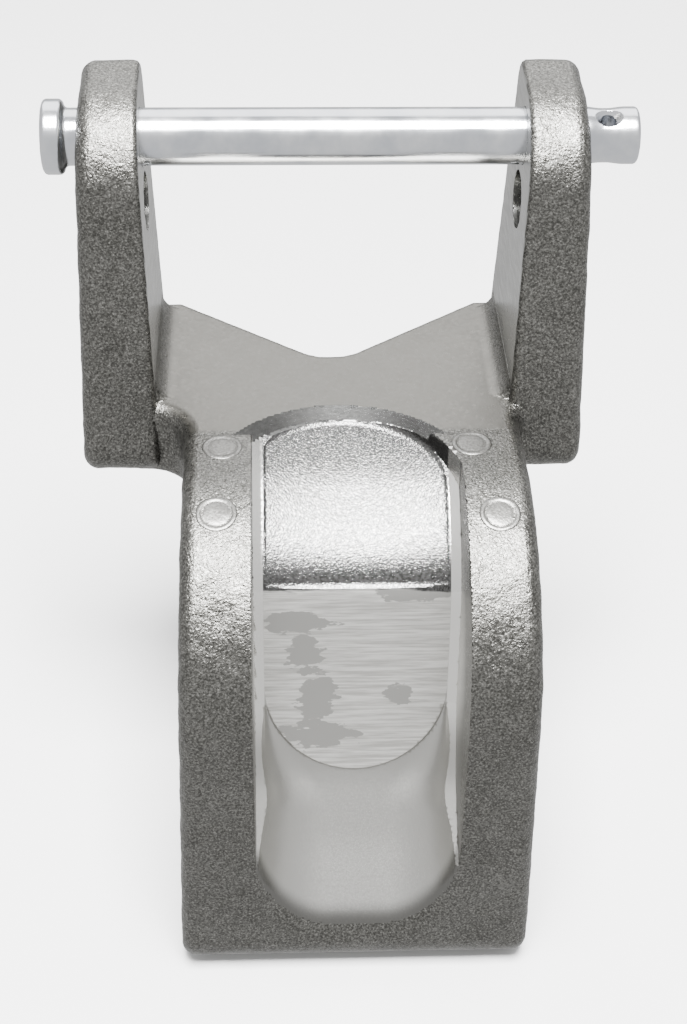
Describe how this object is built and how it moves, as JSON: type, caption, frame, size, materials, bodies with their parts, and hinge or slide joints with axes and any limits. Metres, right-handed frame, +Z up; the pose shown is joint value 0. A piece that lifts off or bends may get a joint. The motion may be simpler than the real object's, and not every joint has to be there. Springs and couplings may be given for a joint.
{
  "type": "bow fairlead with cross pin",
  "caption": "Cast stainless bow fairlead for a boat: a deep groove that turns rope or chain over the bow, and two ears joined by a headed cross pin.",
  "frame": {"origin": "on the flat foot, in the middle plane between the two ears", "axes": "+Z up from the foot to the tops of the ears, +X along the cross pin from its head to its drilled tip, -Y forward over the bow"},
  "size_m": [0.1322, 0.1163, 0.1872],
  "materials": {
    "cast_stainless": "satin",
    "plated_pin": "satin"
  },
  "bodies": {
    "bracket": {"bow_bracket": "cast_stainless"},
    "pin": {"cross_pin": "plated_pin"}
  },
  "joints": [
    {"name": "pin_slide", "type": "slide", "parent": "bracket", "child": "pin", "axis": [-1, 0, 0], "range_m": [-0.0015, 0.13]}
  ]
}
